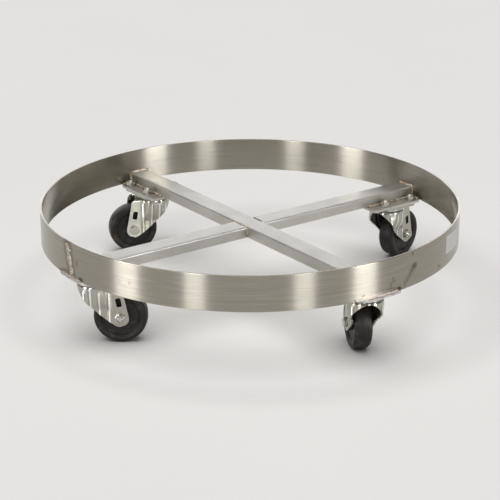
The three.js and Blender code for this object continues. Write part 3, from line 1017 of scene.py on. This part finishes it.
def band_material():
    """Stainless flat bar with grain along it, ground patches, heat tints and rust-brown marks."""
    paint = Painter("stainless_band")
    turned = paint.node("ShaderNodeVectorRotate", {"Vector": paint.own}, rotation_type="Z_AXIS")
    turned.inputs["Angle"].default_value = radians(180 - SEAM_ANGLE)
    x, y, z = paint.split(turned.outputs[0])
    angle = paint.math("ARCTAN2", x, paint.times(y, -1.0))
    height = paint.math("SUBTRACT", z, RING_BOTTOM)
    rise = paint.math("DIVIDE", height, RING_TOP - RING_BOTTOM)
    flat = paint.flat(paint.times(angle, RING_OUTER), height, 0.0)
    fine = paint.noise(1.0, 4.0, vector=paint.stretched(flat, (0.02, 2.6, 1)))
    coarse = paint.noise(1.0, vector=paint.stretched(flat, (0.008, 0.55, 1)))
    grain = paint.plus(paint.times(fine, 0.6), paint.times(coarse, 0.4))
    cloud = paint.noise(0.035, vector=flat)
    ragged = paint.noise(0.5, vector=flat)
    color = paint.over((0.29, 0.268, 0.225, 1), (0.42, 0.392, 0.337, 1), grain, 0.36, 0.64)
    color = paint.over(color, (0.345, 0.32, 0.272, 1), cloud, 0.35, 0.7, 0.6)

    ground = 0.0
    for degrees in GROUND_PATCHES:
        shape = paint.plus(band_patch(paint, flat, degrees, 0, 36, 9), paint.times(ragged, 0.6))
        ground = paint.math("MAXIMUM", ground, paint.span(shape, 1.0, 1.35, 1.0, 0.0))
    rim = paint.times(ground, paint.math("SUBTRACT", 1.0, ground))
    rim = paint.times(rim, paint.times(ragged, 3.6))
    aside = paint.math("SUBTRACT", pi, paint.math("ABSOLUTE", angle))
    aside = paint.times(aside, paint.math("SIGN", angle))
    to_seam = paint.apart(aside, paint.times(rise, radians(SEAM_LEAN)))
    beside = paint.plus(to_seam, paint.times(ragged, 0.02))
    ground = paint.math("MAXIMUM", ground, paint.span(beside, 0.03, 0.062, 0.85, 0.0))
    swirl = paint.noise(0.7, 4.0, 0.7, paint.stretched(flat, (0.5, 0.9, 1)))
    worked = paint.over((0.30, 0.265, 0.22, 1), (0.50, 0.455, 0.40, 1), swirl, 0.35, 0.65)
    color = paint.mix(ground, color, worked)
    color = paint.mix(rim, color, (0.20, 0.14, 0.085, 1))

    stains = 0.0
    for *patch, strength in BAND_STAINS:
        edge = paint.plus(band_patch(paint, flat, *patch), ragged)
        stains = paint.math("MAXIMUM", stains, paint.span(edge, 0.7, 1.9, strength, 0.0))
    color = paint.mix(stains, color, (0.13, 0.09, 0.05, 1))
    seam = paint.span(to_seam, 0.02, 0.055, 0.35, 0.0)
    patchy = paint.span(paint.noise(0.16, vector=flat), 0.42, 0.62)
    color = paint.mix(paint.times(seam, patchy), color, (0.24, 0.17, 0.10, 1))
    roughness = paint.plus(0.2, paint.times(grain, 0.1))
    roughness = paint.plus(roughness, paint.times(stains, 0.2))
    roughness = paint.plus(roughness, paint.times(ground, 0.2))
    paint.drawn(1.0)
    return paint.finish(color, roughness, paint.mix(ground, grain, swirl), 0.12, 0.06)


def ground_material():
    """Weld metal ground back with a disc: pale, swirled and slightly pink-brown."""
    paint = Painter("ground_weld")
    swirl = paint.noise(0.45, 5.0, 0.7)
    fine = paint.noise(2.0)
    color = paint.over((0.27, 0.235, 0.195, 1), (0.46, 0.415, 0.36, 1), swirl, 0.35, 0.65)
    color = paint.over(color, (0.22, 0.15, 0.09, 1), swirl, 0.62, 0.74, 0.7)
    return paint.finish(color, paint.span(fine, 0.3, 0.7, 0.5, 0.64), swirl, 0.3, 0.2)


def channel_material():
    """Mill-finished stainless, with faint blotches, small scratches and handling marks."""
    paint = Painter("stainless_channel")
    cloud = paint.noise(0.03, 4.0)
    speckle = paint.noise(1.4, 4.0)
    scratch = paint.noise(1.0, 5.0, 0.7, paint.stretched(paint.place, (0.05, 1.9, 0.6)))
    color = paint.mix(cloud, (0.42, 0.405, 0.37, 1), (0.58, 0.565, 0.53, 1))
    color = paint.over(color, (0.30, 0.27, 0.22, 1), speckle, 0.58, 0.75, 0.35)
    return paint.finish(color, paint.span(scratch, 0.3, 0.7, 0.34, 0.52), scratch, 0.15, 0.08)


def weld_material():
    """Weld metal: bright ripples with straw, brown and blue heat colours."""
    paint = Painter("weld_metal")
    heat = paint.noise(0.12)
    fine = paint.noise(1.6)
    color = paint.over((0.52, 0.495, 0.45, 1), (0.36, 0.28, 0.185, 1), heat, 0.35, 0.55)
    color = paint.over(color, (0.20, 0.175, 0.165, 1), heat, 0.56, 0.72)
    return paint.finish(color, paint.span(fine, 0.3, 0.7, 0.26, 0.5), fine, 0.3, 0.15)


def zinc_material(name, low, high, tint, drawn, ridges=()):
    """Bright zinc plate, faintly yellow, with dull spots, and on its ridges a painted highlight
    with a line of painted shade beside each.
    """
    paint = Painter(name)
    cloud = paint.noise(0.05)
    fine = paint.noise(1.1, 4.0)
    spangle = paint.node("ShaderNodeTexVoronoi", {"Vector": paint.place, "Scale": 0.35})
    color = paint.over((0.42, 0.42, 0.395, 1), tint, cloud, 0.35, 0.65)
    cells = paint.times(spangle.outputs["Color"], 0.25)
    color = paint.mix(cells, color, (0.58, 0.575, 0.535, 1))
    dull = paint.span(fine, 0.56, 0.72, 0.0, 0.45)
    color = paint.mix(dull, color, (0.24, 0.235, 0.20, 1))
    x, _, z = paint.split(paint.own)
    fade = paint.span(z, CROWN_TOP - 9, CROWN_TOP - 5, 1.0, 0.0)
    for middle in ridges:
        beside = paint.apart(x, middle - 2.4)
        # Painted shade: a darker line just to one side of each ridge, fading out near the crown's
        # top.
        painted_ridge_shade = paint.times(fade, paint.span(beside, 0.5, 1.6, 0.45, 0.0))
        color = paint.mix(painted_ridge_shade, color, (0.22, 0.215, 0.185, 1))
        # Painted highlight: a near-white line along each ridge's top, fading out near the crown's
        # top.
        painted_ridge_highlight = paint.times(fade, paint.span(paint.apart(x, middle), 0.6, 1.5, 1.0, 0.0))
        color = paint.mix(painted_ridge_highlight, color, (0.90, 0.885, 0.83, 1))
    paint.drawn(drawn)
    roughness = paint.span(paint.plus(cloud, dull), 0.3, 0.9, low, high)
    return paint.finish(color, roughness, fine, 0.12, 0.08)


def steel_material():
    """Plain steel with a dark film of oil in patches."""
    paint = Painter("plain_steel")
    film = paint.noise(0.25, 4.0)
    fine = paint.noise(2.2)
    color = paint.over((0.50, 0.50, 0.49, 1), (0.25, 0.22, 0.17, 1), film, 0.4, 0.65)
    return paint.finish(color, paint.span(fine, 0.3, 0.7, 0.25, 0.45), fine, 0.15, 0.06)


def wheel_material():
    """Matt black moulded wheel: dusty tread, brown floor grime and scuffed shoulders."""
    paint = Painter("black_wheel")
    x, _, z = paint.split(paint.own)
    radius = paint.vector("LENGTH", paint.flat(x, 0.0, z))
    cloud = paint.noise(0.09, 4.0, 0.6)
    grit = paint.noise(0.9, 4.0, 0.65)
    color = paint.mix(cloud, (0.005, 0.0047, 0.0045, 1), (0.013, 0.012, 0.011, 1))
    tread = paint.span(radius, WHEEL_RADIUS - 3.0, WHEEL_RADIUS - 0.5)
    dust = paint.times(paint.span(grit, 0.45, 0.75), paint.plus(0.15, paint.times(tread, 0.15)))
    color = paint.mix(dust, color, (0.055, 0.047, 0.038, 1))
    color = paint.over(color, (0.085, 0.05, 0.028, 1), cloud, 0.52, 0.72, 0.35)
    roughness = paint.span(paint.plus(grit, dust), 0.35, 1.0, 0.34, 0.68)
    paint.shader.inputs["Specular IOR Level"].default_value = 0.22
    return paint.finish(color, roughness, grit, 0.25, 0.12, 0.0)


def label_material():
    """Blank white film, faintly soiled, slightly glossy."""
    paint = Painter("blank_label")
    soil = paint.noise(0.12, 5.0)
    grain = paint.noise(1.8)
    color = paint.over((0.31, 0.308, 0.298, 1), (0.2, 0.195, 0.185, 1), soil, 0.4, 0.75, 0.5)
    return paint.finish(color, paint.span(grain, 0.3, 0.7, 0.35, 0.5), grain, 0.08, 0.05, 0.0)


def floor_material():
    """The studio's pale floor."""
    paint = Painter("studio_floor")
    cloud = paint.noise(0.002)
    color = paint.mix(cloud, (0.82, 0.81, 0.795, 1), (0.86, 0.85, 0.835, 1))
    return paint.finish(color, 0.75, paint.noise(0.4), 0.02, 0.1, 0.0)


# ---- Assembly ------------------------------------------------------------------------------
def build_frame_pieces():
    """The ring, the cross and what is stuck or welded on them."""
    still = Matrix.Identity(4)
    steel = "stainless_band"
    piece("band", band_mesh(), still, "frame", "rim_band", steel)
    piece("band_seam_weld", seam_weld(), still, "frame", None, steel, "ground_weld")
    piece("band_seam_blobs", seam_blobs(), still, "frame", None, steel, "weld")
    piece("blank_label", label_mesh(), still, "frame", None, "blank_label")
    section = channel_section()
    steel = "stainless_channel"
    ends = {
        "cross_member_long": ("front_right", -CHANNEL_REACH, CHANNEL_REACH),
        "cross_member_left": ("front_left", CHANNEL_HALF + GAP, CHANNEL_REACH),
        "cross_member_right": ("rear_right", CHANNEL_HALF + GAP, CHANNEL_REACH),
    }
    for node, (caster, start, end) in ends.items():
        place = turned_frame(Vector((0, 0, 0)), PLACES[caster]["base"].translation)
        shape = bar(section, start, end)
        piece(node + "_skin", shape, place, "frame", node, steel)
    piece("cross_welds", cross_welds(), long_frame, "frame", None, steel, "weld")


def build_casters():
    """The four casters: first their parts that stay with the ring, then those that move."""
    fixed = (
        ("pad_plate", pad_mesh(), "stainless_channel"),
        ("top_plate", top_plate_mesh(), "zinc_plate"),
        ("race_ring", race_mesh(), "zinc_plate"),
        ("kingpin", kingpin_mesh(), "plain_steel"),
    )
    bolt_shape, fork_shape, ball_shape = plate_bolt_mesh(), fork_mesh(), ball_ring_mesh()
    sleeve_shape, wheel_shape = sleeve_mesh(), wheel_mesh()
    for name in CASTERS:
        base = PLACES[name]["base"]
        for part, shape, slot in fixed:
            node = name + "_" + part
            piece(node + "_skin", shape, base, "frame", node, slot)
        for number in range(1, 5):
            node = name + "_plate_bolt_" + str(number)
            spot = points_of(node)
            centre = (spot.min(0) + spot.max(0)) / 2
            place = Matrix.Translation((centre[0], centre[1], 0)) @ base.to_3x3().to_4x4()
            piece(node + "_skin", bolt_shape, place, "frame", node, "zinc_fastener")
        slot = "stainless_channel"
        piece(name + "_welds", pad_welds(name), base, "frame", None, slot, "weld")
        piece(name + "_ground_weld", ground_weld(name), base, "frame", None, slot, "ground_weld")
        axle_shape, nut_shape = axle_meshes(name)
        for part, shape, where, body, slot, look in (
            ("fork", fork_shape, "fork", "_swivel_body", "zinc_plate", "fork"),
            ("ball_ring", ball_shape, "fork", "_swivel_body", "plain_steel", None),
            ("axle_sleeve", sleeve_shape, "wheel", "_swivel_body", "plain_steel", None),
            ("axle_bolt", axle_shape, "wheel", "_swivel_body", "zinc_fastener", None),
            ("axle_nut", nut_shape, "wheel", "_swivel_body", "zinc_fastener", None),
            ("wheel", wheel_shape, "wheel", "_wheel_body", "black_wheel", None),
        ):
            node = name + "_" + part
            piece(node + "_skin", shape, PLACES[name][where], name + body, node, slot, look)


# ---- Stage ---------------------------------------------------------------------------------
ROOM_LIGHT = 0.16  # brightness of the studio's walls as they light the object
ROOM_SEEN = 0.752  # and as they are seen behind it, to go on from the floor


def aim(thing, spot, target):
    """Puts a lamp or the camera at a spot and turns it to face a target."""
    thing.location = spot
    toward = Vector(target) - thing.location
    thing.rotation_euler = toward.to_track_quat("-Z", "Y").to_euler()


def build_floor():
    """The floor, and a collection that keeps a lamp's light off it."""
    size = 60.0
    corners = [(-size, -size, 0), (size, -size, 0), (size, size, 0), (-size, size, 0)]
    mesh = bpy.data.meshes.new("floor")
    mesh.from_pydata(corners, [], [(0, 1, 2, 3)])
    mesh.materials.append(floor_material())
    floor = linked("floor", mesh)
    all_but_floor = bpy.data.collections.new("all_but_floor")
    all_but_floor.objects.link(floor)
    all_but_floor.collection_objects[0].light_linking.link_state = "EXCLUDE"
    return all_but_floor


def softbox(name, lit, azimuth, distance, height, size, power, target):
    """A soft light that faces the axis at a height, from an azimuth in degrees from the front."""
    light = bpy.data.lights.new(name, "AREA")
    light.shape = "RECTANGLE"
    light.size, light.size_y = size
    light.energy = power
    light.color = (0.96, 0.98, 1.0)
    lamp = linked(name, light)
    aim(lamp, ring_point(azimuth, distance, height), (0, 0, target))
    lamp.light_linking.receiver_collection = lit


def build_lights(lit):
    """Strips stand all round and light the dolly, and a wide soft sun lights the floor evenly."""
    strips = ((-63.5, 0.7, 50), (-27, 0.54, 26), (26.5, 0.52, 24), (58.5, 0.68, 50))
    strips += ((150, 0.9, 8), (-150, 0.9, 8))
    for number, (azimuth, width, power) in enumerate(strips):
        softbox("strip_" + str(number + 1), lit, azimuth, 3.0, 0.68, (width, 1.3), power, 0.68)
    softbox("back_panel", lit, 180, 3.4, 1.3, (3.2, 1.6), 26, 0.2)
    sun = bpy.data.lights.new("sky_panel", "SUN")
    sun.energy = 2.5
    sun.angle = radians(75)
    lamp = linked("sky_panel", sun)
    lamp.rotation_euler = (radians(8), radians(-6), 0)


def build_room():
    """The studio's walls, seen brighter behind the object than they light it."""
    world = bpy.data.worlds.new("studio")
    bpy.context.scene.world = world
    world.use_nodes = True
    tree = world.node_tree
    background = tree.nodes["Background"]
    background.inputs["Color"].default_value = (1.0, 0.985, 0.96, 1)
    seen = tree.nodes.new("ShaderNodeLightPath").outputs["Is Camera Ray"]
    strength = tree.nodes.new("ShaderNodeMapRange")
    tree.links.new(seen, strength.inputs["Value"])
    strength.inputs["To Min"].default_value = ROOM_LIGHT
    strength.inputs["To Max"].default_value = ROOM_SEEN
    tree.links.new(strength.outputs[0], background.inputs["Strength"])


def build_camera():
    """The photograph's camera, as it was solved from the drum that stands in the dolly there."""
    camera = bpy.data.cameras.new("camera")
    camera.sensor_width = 36
    camera.lens = 121
    eye = linked("camera", camera)
    aim(eye, (0, -2.322, 0.949), (0, 0, 0.075))
    bpy.context.scene.camera = eye


# The finish of each slot, and those of welds and forks, which differ from the rest of their slot.
FINISHES = {
    "stainless_band": band_material(),
    "stainless_channel": channel_material(),
    "weld": weld_material(),
    "ground_weld": ground_material(),
    "zinc_plate": zinc_material("zinc_plate", 0.18, 0.3, (0.46, 0.44, 0.36, 1), 1.0),
    "fork": zinc_material("zinc_fork", 0.18, 0.3, (0.46, 0.44, 0.36, 1), 1.0, FORK_RIDGES),
    "zinc_fastener": zinc_material("zinc_fastener", 0.22, 0.38, (0.50, 0.485, 0.42, 1), 0.0),
    "plain_steel": steel_material(),
    "black_wheel": wheel_material(),
    "blank_label": label_material(),
}
build_frame_pieces()
build_casters()
build_lights(build_floor())
build_room()
build_camera()
bpy.context.scene.view_settings.view_transform = "Standard"
